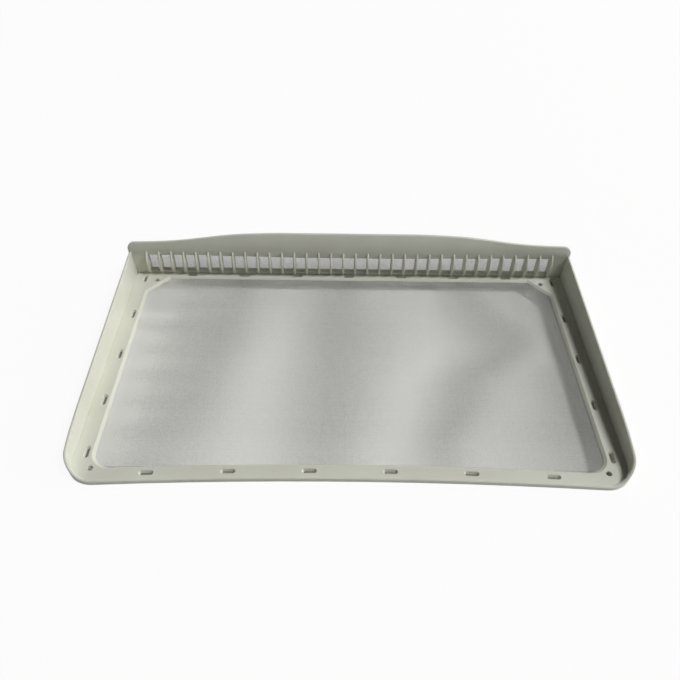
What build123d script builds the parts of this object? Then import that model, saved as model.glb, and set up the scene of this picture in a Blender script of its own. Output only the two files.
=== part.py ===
"""Lint filter of a tumble dryer: a moulded tray frame round a woven floor screen.

+X is the width, +Y runs from the front lip to the rear wall that is gripped, +Z is up.
The origin is the middle of the whole part, on the flat underside.
"""
import os
from math import atan2, degrees, radians, sqrt, tan

from build123d import *

os.makedirs("parts", exist_ok=True)

# Driving dimensions in millimetres. Heights of walls and openings start at the flange's upper face.
tray_width = 411.0        # outside of the side walls at the base
tray_depth = 236.4        # face of the rear wall to the front corners, before these are rounded
front_bow = 6.2           # how far the front edge curves inward at its middle
flange_t = 2.4            # floor flange
wall_t = 2.4              # side walls, front lip and rear wall
corner_r = 20.5           # outer front corners
side_flange = 17.7        # outer wall to the edge of the screen window, at the sides
front_flange = 14.2       # outer edge to the edge of the screen window, at the front
rear_flange = 7.2         # face of the rear wall to the edge of the screen window
window_r = 13.0           # rounded front corners of the screen window
cut_x, cut_y = 17.5, 19.5  # cut rear corners of the screen window
window_slope = 51.0       # lean of the flange's edge round the window, in degrees
side_wall_h = 24.8        # side wall at the rear
lip_h = 1.0               # front lip
end_h = 34.2              # rear wall at its ends
grip_h = 42.8             # rear wall at the grip
lean_start = 25.0         # where the rear wall begins to lean back
lean_r = 32.0             # radius of the leaning part
crest_r = 7.0             # upper corners of the rear wall
mesh_t = 0.4              # woven screens
rib_count = 34
rib_end = 15.0            # outer wall to the first rib
rib_t = 2.0
rib_bulge = 5.0           # how far a rib stands out at its middle
cell_sill = 2.9           # lower edge of the grille openings
cell_top = 21.8           # upper edge of the openings at the ends of the row
cell_drop = 1.8           # how much lower that edge is behind the grip
grille_depth = 5.4        # face of the rear wall to the back of the collar round the openings
slot_l, slot_w = 10.6, 4.0  # clamp slots at the flange's upper face
slot_draft = 30.0         # their walls close in toward the screen by this angle
slot_corner = 0.5         # their cut corners, at the screen
rear_slots, side_slots, front_slots = 7, 5, 6
rear_slot_x = 55.5        # outer wall to the first slot of the rear row
side_slot_x, side_slot_y = 11.4, 8.3  # outer wall and rear wall to the rearmost side slot
side_slot_end = 28.1      # front corner to the foremost side slot
front_slot_x, front_slot_y = 58.5, 7.5  # outer wall and front edge to the first front slot
pin_hole_d = 4.2
rear_pin_x, rear_pin_y = 23.3, 11.2  # outer wall and rear wall to the rear pin holes
front_pin_x, front_pin_y = 17.6, 13.8  # outer wall and front corner to the front pin holes
edge_r = 0.8              # top edge of the rear wall
rim_edge, rib_edge = 0.8, 0.5  # rounding of the other walls, and bevel on the ribs
outer_draft, inner_draft = 2.0, 3.0  # the walls open upward by these angles

# Clearances and margins.
slot_gap = 0.4            # rear slots to the rear wall
mesh_margin = 1.2         # the floor screen runs this far past the slots
strip_margin = 1.6        # the grille screen runs this far past the openings
collar_margin = 1.2       # the collar runs this far past the grille screen
root = 0.6                # ribs and side walls run this far into the rear wall
end_lap = 0.6             # the rear wall stands this far past the side walls

# Values that follow.
half_w = tray_width / 2
bow_r = (half_w**2 + front_bow**2) / (2 * front_bow)
corner_x = half_w - corner_r
front_reach = tray_depth - front_bow + bow_r - sqrt((bow_r + corner_r) ** 2 - corner_x**2) + corner_r
grip_back = lean_r - sqrt((lean_r - wall_t) ** 2 - (grip_h - lean_start) ** 2)
face_y = (front_reach - grip_back) / 2       # front face of the rear wall
corner_y = face_y - front_reach + corner_r   # centre of the rounded front corners
mid_front_y = face_y - tray_depth + front_bow
strip_y = face_y + grille_depth - mesh_t
window_x = half_w - side_flange
window_rear_y = face_y - rear_flange
mesh_inset = front_slot_y - slot_w / 2 - mesh_margin
slot_run = (flange_t - mesh_t) * tan(radians(slot_draft))
rib_pitch = (tray_width - 2 * rib_end) / (rib_count - 1)
rib_h = lean_start + 0.8
rib_xs = [(i - (rib_count - 1) / 2) * rib_pitch for i in range(rib_count)]
cell_xs = [x + rib_pitch / 2 for x in rib_xs[:-1]]
cell_w = rib_pitch - rib_t
strip_w = cell_xs[-1] * 2 + cell_w + 2 * strip_margin
strip_top = flange_t + cell_top + strip_margin


def bow_y(x, inset):
    """Y of the front edge's curve at x, after it is moved inward by inset."""
    return mid_front_y - bow_r + sqrt((bow_r + inset) ** 2 - x**2)


def bowed_face(points, inset, radius):
    """Face with the given straight edges and the curved front edge, its two front corners rounded."""
    with BuildLine() as edge:
        Polyline(*points)
        ThreePointArc(points[-1], (0, mid_front_y + inset), points[0])
        fillet(edge.vertices().group_by(Axis.Y)[0], radius)
    make_face(edge.edges())


def tray_outline(inset):
    x, y = half_w - inset, face_y + root
    bowed_face([(-x, bow_y(x, inset)), (-x, y), (x, y), (x, bow_y(x, inset))], inset, corner_r - inset)


def window_outline():
    x, y = window_x, window_rear_y
    half = [(x - cut_x, y), (x, y - cut_y), (x, bow_y(x, front_flange))]
    bowed_face([(-px, py) for px, py in reversed(half)] + half, front_flange, window_r)


def spread(first, last, count):
    """Evenly spaced places from the first to the last."""
    return [first + (last - first) * i / (count - 1) for i in range(count)]


# Places of the clamp slots (with their turn) and of the corner pin holes.
slots = [(x, face_y - slot_gap - slot_w / 2, 0)
         for x in spread(rear_slot_x - half_w, half_w - rear_slot_x, rear_slots)]
slots += [(s * (half_w - side_slot_x), y, 90) for s in (-1, 1)
          for y in spread(face_y - side_slot_y, face_y - tray_depth + side_slot_end, side_slots)]
slots += [(x, bow_y(x, front_slot_y), degrees(atan2(-x, bow_r)))
          for x in spread(front_slot_x - half_w, half_w - front_slot_x, front_slots)]
slot_places = [Location((x, y, 0), (0, 0, turn)) for x, y, turn in slots]
pin_holes = [(s * (half_w - rear_pin_x), face_y - rear_pin_y) for s in (-1, 1)]
pin_holes += [(s * (half_w - front_pin_x), face_y - tray_depth + front_pin_y) for s in (-1, 1)]

# Floor screen: one flat woven sheet, flush with the underside and wide enough to cross every clamp slot.
with BuildPart() as floor_screen:
    with BuildSketch():
        sheet_x = half_w - side_slot_x + slot_w / 2 + mesh_margin
        sheet_y = bow_y(sheet_x, mesh_inset)
        bowed_face([(-sheet_x, sheet_y), (-sheet_x, face_y), (sheet_x, face_y), (sheet_x, sheet_y)],
                   mesh_inset, corner_r - mesh_inset)
        with Locations(*pin_holes):
            Circle(pin_hole_d / 2, mode=Mode.SUBTRACT)
    extrude(amount=mesh_t)

# Grille screen: a woven strip behind the openings, flush with the back of their collar.
with BuildPart() as grille_screen:
    with BuildSketch(Plane.XZ.offset(-strip_y)):
        with Locations((0, flange_t + cell_sill - strip_margin)):
            Rectangle(strip_w, cell_top - cell_sill + 2 * strip_margin, align=(Align.CENTER, Align.MIN))
    extrude(amount=-mesh_t)

# Tool that trims the side walls. It is swept along the line that halves each front corner,
# so that one profile lowers the side wall, runs round the corner and ends level with the lip.
with BuildPart() as wall_trim:
    mid_r = corner_r - wall_t / 2
    with BuildSketch(Plane((corner_x, corner_y, flange_t), x_dir=(-1, -1, 0), z_dir=(-1, 1, 0))):
        with BuildLine():
            along = [(-mid_r - s) / sqrt(2) for s in (face_y - corner_y, 40, 20, 0)] + [0, mid_r / sqrt(2)]
            level = [side_wall_h * k for k in (1, 0.68, 0.62, 0.49, 0.235)] + [lip_h]
            slope = (level[1] - level[0]) / (along[1] - along[0])
            start = (along[0] - 20, level[0] - 20 * slope)
            Line(start, (along[1], level[1]))
            Spline(*zip(along[1:], level[1:]), tangents=[(1, slope), (1, 0)])
            Polyline((along[-1], lip_h), (tray_width, lip_h), (tray_width, grip_h), (start[0], grip_h), start)
        make_face()
    extrude(amount=tray_width, both=True)
    with Locations((half_w, 0, 0)):
        Box(tray_width, 2 * tray_depth, 4 * grip_h, mode=Mode.INTERSECT)
    mirror(about=Plane.YZ)

# Rear wall: upright below, leaning back above, cut to its outline with the raised grip.
with BuildPart() as rear_wall:
    with BuildSketch(Plane.YZ):
        with BuildLine():
            z0, z1 = flange_t + lean_start, flange_t + grip_h + 2
            Line((face_y, 0), (face_y, z0))
            front_end = (face_y + lean_r - sqrt(lean_r**2 - (z1 - z0) ** 2), z1)
            RadiusArc((face_y, z0), front_end, lean_r)
            rear_r = lean_r - wall_t
            rear_end = (face_y + lean_r - sqrt(rear_r**2 - (z1 - z0) ** 2), z1)
            Line(front_end, rear_end)
            RadiusArc(rear_end, (face_y + wall_t, z0), -rear_r)
            Polyline((face_y + wall_t, z0), (face_y + wall_t, 0), (face_y, 0))
        make_face()
    extrude(amount=tray_width, both=True)
    with BuildSketch(Plane.XZ):
        with BuildLine() as outline:
            foot_x = half_w + end_lap
            end_x = foot_x + (flange_t + end_h) * tan(radians(outer_draft))
            rise = [(0.30, 1), (0.41, 0.95), (0.52, 0.84), (0.63, 0.60), (0.74, 0.31), (0.85, 0.12)]
            crest = [(half_w * a, flange_t + end_h + (grip_h - end_h) * b) for a, b in rise]
            crest.append((end_x, flange_t + end_h))
            Spline(*crest, tangents=[(1, 0), (1, -0.04)])
            Spline(*[(-x, z) for x, z in crest], tangents=[(-1, 0), (-1, -0.04)])
            Line(crest[0], (-crest[0][0], crest[0][1]))
            Polyline(crest[-1], (foot_x, 0), (-foot_x, 0), (-end_x, crest[-1][1]))
            fillet([v for v in outline.vertices() if abs(v.X) > end_x - 0.01], crest_r)
        make_face()
    extrude(amount=tray_depth, both=True, mode=Mode.INTERSECT)

# One crescent rib, to be set at each place along the rear wall.
with BuildPart() as rib:
    with BuildSketch(Plane.YZ):
        with BuildLine():
            low, high = (face_y, flange_t), (face_y, flange_t + rib_h)
            ThreePointArc(low, (face_y - rib_bulge, flange_t + rib_h / 2), high)
            Polyline(high, (face_y + root, flange_t + rib_h), (face_y + root, flange_t), low)
        make_face()
    extrude(amount=rib_t / 2, both=True)
    chamfer(rib.edges().filter_by(GeomType.CIRCLE), rib_edge)


def crest_edges(low, high):
    """Long edges on top of the rear wall, at these shares of its thickness behind its leaning front face."""
    found = []
    for e in frame.edges():
        b, p = e.bounding_box(), e.position_at(0.5)
        lean = lean_r - sqrt(lean_r**2 - min(lean_r, max(0.0, p.Z - flange_t - lean_start)) ** 2)
        if b.min.Z > flange_t + end_h - 1.2 * crest_r and b.size.X > 1:
            if low * wall_t < p.Y - face_y - lean < high * wall_t:
                found.append(e)
    return found


# Frame: the one moulding that holds both screens.
with BuildPart() as frame:
    # Floor plate with side walls and front lip.
    with BuildSketch():
        tray_outline(0)
    extrude(amount=flange_t + side_wall_h + 4, taper=-outer_draft)
    with BuildSketch(Plane.XY.offset(flange_t)):
        tray_outline(wall_t)
    extrude(amount=side_wall_h + 8, taper=-inner_draft, mode=Mode.SUBTRACT)
    add(wall_trim.part, mode=Mode.SUBTRACT)
    add(rear_wall.part)
    # Top edges are rounded, but for the rear one of the rear wall, which is bevelled.
    fillet(crest_edges(-0.1, 0.1), edge_r)
    chamfer(crest_edges(0.9, 1.5), edge_r)
    upper = [f for f in frame.faces() if f.normal_at().Z > 0.2 and f.center().Z > flange_t + lip_h / 2]
    rims = [f for f in upper if f.center().Y < face_y - 5]
    fillet([e for f in rims for e in f.edges() if e.length > 2 * wall_t], rim_edge)
    # Screen window with its sloping edge, clamp slots and pin holes.
    with BuildSketch(Plane.XY.offset(mesh_t)):
        window_outline()
    extrude(amount=flange_t - mesh_t, taper=-window_slope, mode=Mode.SUBTRACT)
    with BuildSketch(Plane.XY.offset(mesh_t)) as slot_feet:
        with Locations(*slot_places):
            Rectangle(slot_l - 2 * slot_run, slot_w - 2 * slot_run)
        chamfer(slot_feet.vertices(), slot_corner)
    extrude(amount=flange_t - mesh_t, taper=-slot_draft, mode=Mode.SUBTRACT)
    with BuildSketch():
        with Locations(*pin_holes):
            Circle(pin_hole_d / 2)
    extrude(amount=flange_t, mode=Mode.SUBTRACT)
    # Crescent ribs on the rear wall, the collar behind it and the openings from rib to rib.
    with Locations((0, face_y + root, 0)):
        Box(strip_w + 2 * collar_margin, grille_depth - root, strip_top + collar_margin,
            align=(Align.CENTER, Align.MIN, Align.MIN))
    with Locations(*[(x, 0, 0) for x in rib_xs]):
        add(rib.part)
    with BuildSketch(Plane.XZ.offset(-face_y)):
        for x in cell_xs:
            drop = cell_drop * max(0.0, 1 - (x / (0.75 * half_w)) ** 2)
            with Locations((x, flange_t + cell_sill)):
                Rectangle(cell_w, cell_top - drop - cell_sill, align=(Align.CENTER, Align.MIN))
    extrude(amount=-grille_depth, mode=Mode.SUBTRACT)
    # Both screens are caught in the moulding.
    add(floor_screen.part, mode=Mode.SUBTRACT)
    add(grille_screen.part, mode=Mode.SUBTRACT)

for name, node in (("frame", frame), ("floor_screen", floor_screen), ("grille_screen", grille_screen)):
    node.part.label = name
    export_step(node.part, f"parts/{name}.step")
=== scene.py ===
"""Lint filter of a tumble dryer: one pale moulding with two woven screens caught in it."""
import math

import bmesh
import bpy
from mathutils import Matrix, Vector


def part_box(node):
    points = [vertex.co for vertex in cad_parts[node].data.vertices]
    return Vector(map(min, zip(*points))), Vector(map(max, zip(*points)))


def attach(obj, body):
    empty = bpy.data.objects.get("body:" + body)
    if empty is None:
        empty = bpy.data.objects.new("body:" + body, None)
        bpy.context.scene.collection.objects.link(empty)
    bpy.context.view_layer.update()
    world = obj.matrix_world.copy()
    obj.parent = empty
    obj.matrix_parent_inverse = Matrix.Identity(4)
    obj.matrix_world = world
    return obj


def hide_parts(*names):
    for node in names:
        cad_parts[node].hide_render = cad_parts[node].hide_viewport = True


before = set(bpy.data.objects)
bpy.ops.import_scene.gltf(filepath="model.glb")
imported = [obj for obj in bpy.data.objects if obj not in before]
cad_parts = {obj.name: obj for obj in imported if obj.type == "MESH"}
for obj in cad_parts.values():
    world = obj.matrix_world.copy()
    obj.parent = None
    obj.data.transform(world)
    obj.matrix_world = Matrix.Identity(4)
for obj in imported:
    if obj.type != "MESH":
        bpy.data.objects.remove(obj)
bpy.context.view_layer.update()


# Frame: one injection moulding in off-white plastic, which carries the rest. Its faces come satin
# from the tool, the flow of the melt leaves faint clouds and streaks in them, and handling has
# polished the edges. Its corners and creases are darkened towards a dust colour by ambient occlusion,
# partly as dust and partly as painted shade.
class Tone:
    """A value, colour or vector that varies over a surface. Arithmetic on a value adds Math nodes."""

    def __init__(self, tree, socket):
        self.tree, self.socket = tree, socket

    def node(self, kind, settings=None, inputs=None, output=0):
        """One more node with its settings, then its inputs, as the Tone of one of its outputs."""
        made = self.tree.nodes.new("ShaderNode" + kind)
        for name, value in (settings or {}).items():
            setattr(made, name, value)
        for name, value in (inputs or {}).items():
            if isinstance(value, Tone):
                self.tree.links.new(value.socket, made.inputs[name])
            else:
                made.inputs[name].default_value = value
        return Tone(self.tree, made.outputs[output])

    def math(self, operation, *values):
        return self.node("Math", {"operation": operation}, dict(enumerate(values)))

    def mix(self, low, high):
        """Colour from low to high as this value goes from 0 to 1."""
        return self.node("Mix", {"data_type": "RGBA"}, {0: self, 6: low, 7: high}, 2)

    def ramp(self, low, high):
        """0 up to low, 1 from high on, smooth between."""
        return self.node("MapRange", {"interpolation_type": "SMOOTHSTEP"}, {0: self, 1: low, 2: high})

    def noise(self, scale, detail=2.0, stretch=(1, 1, 1)):
        """Cloudy value about 0.5 on this place, in lumps of one over scale metres."""
        place = self.node("VectorMath", {"operation": "MULTIPLY"}, {0: self, 1: stretch})
        return self.node("TexNoise", {}, {"Vector": place, "Scale": scale, "Detail": detail})

    def to(self, socket):
        self.tree.links.new(self.socket, socket)

    def __add__(self, other):
        return self.math("ADD", self, other)

    def __sub__(self, other):
        return self.math("SUBTRACT", self, other)

    def __rsub__(self, other):
        return self.math("SUBTRACT", other, self)

    def __mul__(self, other):
        return self.math("MULTIPLY", self, other)

    def __truediv__(self, other):
        return self.math("DIVIDE", self, other)

    __radd__, __rmul__ = __add__, __mul__


def new_finish(name):
    """A new material, its shader, and the place on the piece in metres."""
    made = bpy.data.materials.new(name)
    made.use_nodes = True
    tree = made.node_tree
    place = Tone(tree, tree.nodes.new("ShaderNodeTexCoord").outputs["Object"])
    return made, tree.nodes["Principled BSDF"], place


moulded, shader, place = new_finish("moulded_plastic")
pale, clouded, dust_and_shade_colour = (0.72, 0.73, 0.645, 1), (0.68, 0.685, 0.595, 1), (0.44, 0.43, 0.36, 1)
cloud = place.noise(24, 3.0)
streak = place.noise(9, 4.0, (1, 6, 2))
grain = place.noise(2600, 1.0)
sag = place.noise(30, 1.0)
rounded = place.node("Bevel", {"samples": 6}, {"Radius": 0.0005})
facing = place.node("NewGeometry", {}, {}, 1)
edge = 1 - place.node("VectorMath", {"operation": "DOT_PRODUCT"}, {0: rounded, 1: facing}, 1)
worn = edge.ramp(0.02, 0.2)
# Darkening in corners and creases from ambient occlusion: partly dust, partly painted shade.
corner = 1 - place.node("AmbientOcclusion", {"samples": 6, "only_local": True}, {"Distance": 0.0035}, 1)
dust_and_painted_shade = corner.ramp(0.25, 0.85) * (0.4 + 0.5 * cloud)
body = (0.6 * cloud + 0.4 * streak).ramp(0.35, 0.65).mix(pale, clouded)
dust_and_painted_shade.mix(body, dust_and_shade_colour).to(shader.inputs["Base Color"])
(0.40 + 0.10 * streak + 0.05 * grain - 0.08 * worn).to(shader.inputs["Roughness"])
bumps = {"Strength": 0.6, "Distance": 0.00002, "Height": grain + 2 * cloud + 30 * sag, "Normal": rounded}
place.node("Bump", {}, bumps).to(shader.inputs["Normal"])
shader.inputs["Specular IOR Level"].default_value = 0.2
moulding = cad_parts["frame"]
moulding.data.materials.clear()
moulding.data.materials.append(moulded)


# Floor screen: one sheet of plain-woven nylon monofilament that closes the floor of the tray. The
# moulding is shot over its edge and pulls it tight between the clamp slots, so that it keeps soft
# fore-and-aft waves, with small puckers beside the clamps. The thread colour carries painted light
# and shade: darker and lighter bands along the folds, lighter towards the left, rear and front edges,
# and darker under the frame's edge, where the clamp slots show it.
def woven(name, axis_along, usual_r):
    """Plain weave of round threads across X and the given axis, their usual radius in pitches."""
    made, shader, place = new_finish(name)
    pitch, sway = 0.00085, 0.12
    close = place.node("Attribute", {"attribute_name": "closeness"}, {}, 2)
    painted_shading = place.node("Attribute", {"attribute_name": "painted_shading"}, {}, 2)
    thread_r = usual_r * (1 + close)
    parts = place.node("SeparateXYZ", {}, {0: place})
    across = Tone(parts.tree, parts.socket.node.outputs["X"]) / pitch
    along = Tone(parts.tree, parts.socket.node.outputs[axis_along]) / pitch
    warp_no, weft_no = across.math("FLOOR", across), along.math("FLOOR", along)

    def thread(side, number, run, turn):
        """How round one set of threads stands here, and how high it rides over the other set."""
        uneven = number.node("TexWhiteNoise", {"noise_dimensions": "1D"}, {"W": number + 7.3 * turn})
        off = (side - number - 0.5) / (thread_r * (0.9 + 0.2 * uneven))
        round_top = off.math("SQRT", off.math("MAXIMUM", 1 - off * off, 0))
        ride = turn * run.math("COSINE", math.pi * (run - 0.5 - number))
        return round_top, thread_r * round_top + sway * ride

    warp, warp_top = thread(across, warp_no, along, 1)
    weft, weft_top = thread(along, weft_no, across, -1)
    has_warp, has_weft = warp.math("GREATER_THAN", warp, 0), weft.math("GREATER_THAN", weft, 0)
    warp_high, weft_high = has_warp * (warp_top + 1), has_weft * (weft_top + 1)
    height = warp_high.math("MAXIMUM", warp_high, weft_high)
    on_top = warp_high.math("GREATER_THAN", warp_high, weft_high)
    seed = on_top * (warp_no - weft_no - 0.37) + weft_no + 0.37
    shade = seed.node("TexWhiteNoise", {"noise_dimensions": "1D"}, {"W": seed})
    crossing = place.node("CombineXYZ", {}, {"X": warp_no, "Y": weft_no})
    glint = place.node("TexWhiteNoise", {"noise_dimensions": "2D"}, {"Vector": crossing})
    # Thread colour: a random tone per thread, painted glints at random crossings, and the painted light
    # and shade from the sheet.
    painted_thread_tone = 0.41 + 0.1 * shade + 0.26 * glint - 0.5 * painted_shading
    painted_thread_tone.mix((0.22, 0.22, 0.205, 1), (0.95, 0.95, 0.92, 1)).to(shader.inputs["Base Color"])
    (0.30 + 0.12 * shade).to(shader.inputs["Roughness"])
    has_warp.math("MAXIMUM", has_warp, has_weft).to(shader.inputs["Alpha"])
    bumps = {"Strength": 0.35, "Distance": pitch, "Height": height}
    place.node("Bump", {}, bumps).to(shader.inputs["Normal"])
    return made


def lay_sheet(name, node, cuts, shape, finish, thickness):
    """Sheet on the middle of a packed screen, cut into cells, then shaped point by point."""
    low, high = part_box(node)
    middle, thin = (low + high) / 2, min(range(3), key=lambda k: high[k] - low[k])
    sheet = bmesh.new()
    sheet.from_mesh(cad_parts[node].data)
    bmesh.ops.remove_doubles(sheet, verts=sheet.verts, dist=1e-6)
    rest = [f for f in sheet.faces if any(abs(v.co[thin] - high[thin]) > 1e-5 for v in f.verts)]
    bmesh.ops.delete(sheet, geom=rest, context="FACES")
    bmesh.ops.dissolve_limit(sheet, angle_limit=0.01, verts=sheet.verts, edges=sheet.edges)
    for axis, count in cuts:
        turn = Vector([float(k == axis) for k in range(3)])
        for i in range(1, count):
            spot = low.lerp(high, i / count)
            geometry = sheet.verts[:] + sheet.edges[:] + sheet.faces[:]
            bmesh.ops.bisect_plane(sheet, geom=geometry, plane_co=spot, plane_no=turn)
    sheet.verts.layers.float.new("closeness")
    sheet.verts.layers.float.new("painted_shading")
    drawn, painted_shading_layer = (sheet.verts.layers.float[k] for k in ("closeness", "painted_shading"))
    for v in sheet.verts:
        bulge, v[drawn], v[painted_shading_layer] = shape(v.co)
        v.co[thin] = middle[thin] + bulge
    bmesh.ops.recalc_face_normals(sheet, faces=sheet.faces)
    mesh = bpy.data.meshes.new(name)
    sheet.to_mesh(mesh)
    sheet.free()
    mesh.shade_smooth()
    mesh.materials.append(finish)
    piece = bpy.data.objects.new(name, mesh)
    bpy.context.scene.collection.objects.link(piece)
    body = piece.modifiers.new("thickness", "SOLIDIFY")
    body.thickness, body.offset = thickness, 0
    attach(piece, "root")
    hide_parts(node)
    return piece


window = {"x": 0.1878, "rear": 0.1062, "front": -0.1026}
taut_run = 0.014                        # from the frame's edge to where the folds have their full height
fold_rise = 0.0009                      # height of a fold for one unit of closeness
left_run, left_pitch = 0.028, 0.029     # how far the puckers at the left edge reach, and their spacing
rear_run, rear_pitch = 0.020, 0.050     # the same at the rear edge
stations = (-0.090, -0.030, 0.030, 0.090)
# Folds from left to right: X at each station from front to rear, and how much closer than usual the
# threads lie there. Where the threads lie close they are painted darker and where they lie wide lighter,
# as painted shade and light, and the cloth rises where they lie wide.
folds = [((-0.150, -0.130, -0.117, -0.110), 0.42), ((-0.070, -0.070, -0.060, -0.050), -0.45),
         ((-0.015, -0.008, -0.010, -0.018), 0.42), ((0.040, 0.052, 0.080, 0.077), -0.52),
         ((0.071, 0.094, 0.145, 0.115), 0.45), ((0.106, 0.134, 0.180, 0.152), -0.28)]


def between(value, values, results):
    """Smooth step from one result to the next, for a value among rising values."""
    steps = list(zip(values, results))
    for (a, p), (b, q) in zip(steps, steps[1:]):
        if value <= b:
            t = min(1, max(0, (value - a) / (b - a)))
            return p + (q - p) * t * t * (3 - 2 * t)
    return results[-1]


def wave(co):
    """Height of the floor screen, how much closer than usual its threads lie, and the painted light and
    shade on them.
    """
    inside = min(window["x"] - abs(co.x), window["rear"] - co.y, co.y - window["front"])
    held = between(inside, (0, taut_run), (0, 1))
    caught = between(-inside, (0.003, 0.006), (0, 1))
    spots = [-window["x"]] + [between(co.y, stations, xs) for xs, _ in folds] + [window["x"]]
    close = between(co.x, spots, [0.1] + [c for _, c in folds] + [0.3])
    rear = math.exp(-max(0, window["rear"] - co.y) / rear_run)
    close -= 0.25 * rear * math.cos(2 * math.pi * (co.x - 0.026) / rear_pitch)
    left = math.exp(-max(0, co.x + window["x"]) / left_run) * between(co.y, (-0.095, -0.055), (0.6, 1))
    left *= 1 + 0.2 * math.cos(2 * math.pi * (co.y - 0.027) / left_pitch)
    far = held * between(co.y, (0.030, 0.085), (0, 1))
    near = between(-co.y, (0.065, 0.095), (0, 1))
    # Painted shading: darker along close folds and much darker under the frame's edge, lighter at the
    # left, rear and front.
    painted_shading = close - 1.7 * left - 0.5 * far - 0.3 * near + 4.0 * caught
    return fold_rise * held * (0.5 - close), close + 1.6 * left + 0.2 * far + 2.5 * caught, painted_shading


floor_screen = lay_sheet("floor_screen_weave", "floor_screen", ((0, 98), (1, 58)), wave,
                         woven("floor_weave", "Y", 0.08), 0.0001)


# Grille screen: a strip cut from the same cloth, shot flush into the back of the collar behind the
# rear wall. The webs between the openings hold it, so it lies flat but for a slight billow in each.
def billow(co):
    """Small bulge of the strip in each opening, its closeness, and no painted shading."""
    pitch, sill, top, swell = 0.0115455, 0.0053, 0.0242, 0.00005
    if not sill < co.z < top:
        return 0, 0, 0
    up = (co.z - sill) / (top - sill)
    return swell * math.cos(2 * math.pi * co.x / pitch) * math.sin(math.pi * up), 0.3 - 0.45 * up, 0


grille_screen = lay_sheet("grille_screen_weave", "grille_screen", ((0, 132), (2, 6)), billow,
                          woven("grille_weave", "Z", 0.17), 0.0001)


# Setting: a pale table top that shows white round the filter and keeps its faint shadow. Under the
# screen it is sunk, because the photograph shows a surface about a finger's breadth below the screen.
def is_seen(start):
    """1 for what the camera sees, straight or in gloss and glass."""
    path = start.node("LightPath").socket.node.outputs
    seen = [Tone(start.tree, path[k]) for k in ("Is Camera Ray", "Is Glossy Ray", "Is Transmission Ray")]
    return seen[0].math("MAXIMUM", seen[0].math("MAXIMUM", seen[0], seen[1]), seen[2])


sunk_x, sunk_y, sunk_z = 0.1985, 0.1145, 0.012  # half the sunk part's width and depth, and its drop
table = bmesh.new()
bmesh.ops.create_grid(table, x_segments=1, y_segments=1, size=3.0)
for turn, reach in ((Vector((1, 0, 0)), sunk_x), (Vector((0, 1, 0)), sunk_y)):
    for spot in (-reach, reach):
        geometry = table.verts[:] + table.edges[:] + table.faces[:]
        bmesh.ops.bisect_plane(table, geom=geometry, plane_co=turn * spot, plane_no=turn)
middle = min(table.faces, key=lambda f: f.calc_center_median().length)
sunk = bmesh.ops.extrude_discrete_faces(table, faces=[middle])["faces"]
bmesh.ops.translate(table, verts=sunk[0].verts, vec=(0, 0, -sunk_z))
table_mesh = bpy.data.meshes.new("table")
table.to_mesh(table_mesh)
table.free()
paper, shader, place = new_finish("table_paper")
height = Tone(place.tree, place.node("SeparateXYZ", {}, {0: place}).socket.node.outputs["Z"])
shader.inputs["Base Color"].default_value = (0.91, 0.91, 0.89, 1)
shader.inputs["Roughness"].default_value = 0.9
glow = place.node("Emission", {}, {"Color": (1, 1, 1, 1), "Strength": 1.0})
matte = Tone(place.tree, shader.outputs[0])
white = 0.93 * height.math("GREATER_THAN", height, -0.0001) * is_seen(place)
surface = white.node("MixShader", {}, {0: white, 1: matte, 2: glow})
surface.to(place.tree.nodes["Material Output"].inputs["Surface"])
table_mesh.materials.append(paper)
table_top = bpy.data.objects.new("table", table_mesh)
table_top.location.z = -0.0002
bpy.context.scene.collection.objects.link(table_top)

# Light: a soft key from the right, low window light beside it, and weak light from the other sides.
world = bpy.data.worlds.new("room")
bpy.context.scene.world = world
world.use_nodes = True
backdrop = Tone(world.node_tree, world.node_tree.nodes["Background"].outputs[0])
room = backdrop.node("Background", {}, {"Color": (0.95, 0.97, 1.0, 1), "Strength": 0.02})
white_room = backdrop.node("Background", {}, {"Color": (1, 1, 1, 1), "Strength": 0.98})
choose = backdrop.node("MixShader", {}, {0: is_seen(backdrop), 1: room, 2: white_room})
choose.to(world.node_tree.nodes["World Output"].inputs["Surface"])


def soft_lamp(name, place, aim, size, watts, tint):
    """Square area lamp at a place, turned to its aim."""
    lamp = bpy.data.lights.new(name, "AREA")
    lamp.size, lamp.energy, lamp.color = size, watts, tint
    holder = bpy.data.objects.new(name, lamp)
    holder.location = place
    holder.rotation_euler = (Vector(aim) - Vector(place)).to_track_quat("-Z", "Y").to_euler()
    bpy.context.scene.collection.objects.link(holder)


soft_lamp("key_light", (3.171, -0.791, 5.032), (0, 0, 0), 1.7, 212, (1.0, 1.0, 0.99))
soft_lamp("window_light", (5.765, 0.810, 1.452), (0, 0, 0), 2.0, 130, (1.0, 1.0, 0.99))
soft_lamp("room_light", (2.359, 4.630, 3.000), (0, 0, 0), 2.0, 70, (1.0, 0.99, 0.93))
bpy.context.scene.view_settings.view_transform = "Standard"

# Camera: hand-held in front of the filter, looking down at about 45 degrees.
pan, tilt, roll = -0.003493, 0.787143, 0.013835
stand = Vector((-0.009363, -0.377309, 0.405660))
lens = bpy.data.cameras.new("camera")
lens.sensor_width, lens.lens = 36.0, 34.726
camera = bpy.data.objects.new("camera", lens)
turn = Matrix.Rotation(pan, 4, "Z") @ Matrix.Rotation(math.pi / 2 - tilt, 4, "X")
camera.matrix_world = Matrix.Translation(stand) @ turn @ Matrix.Rotation(roll, 4, "Z")
bpy.context.scene.collection.objects.link(camera)
bpy.context.scene.camera = camera
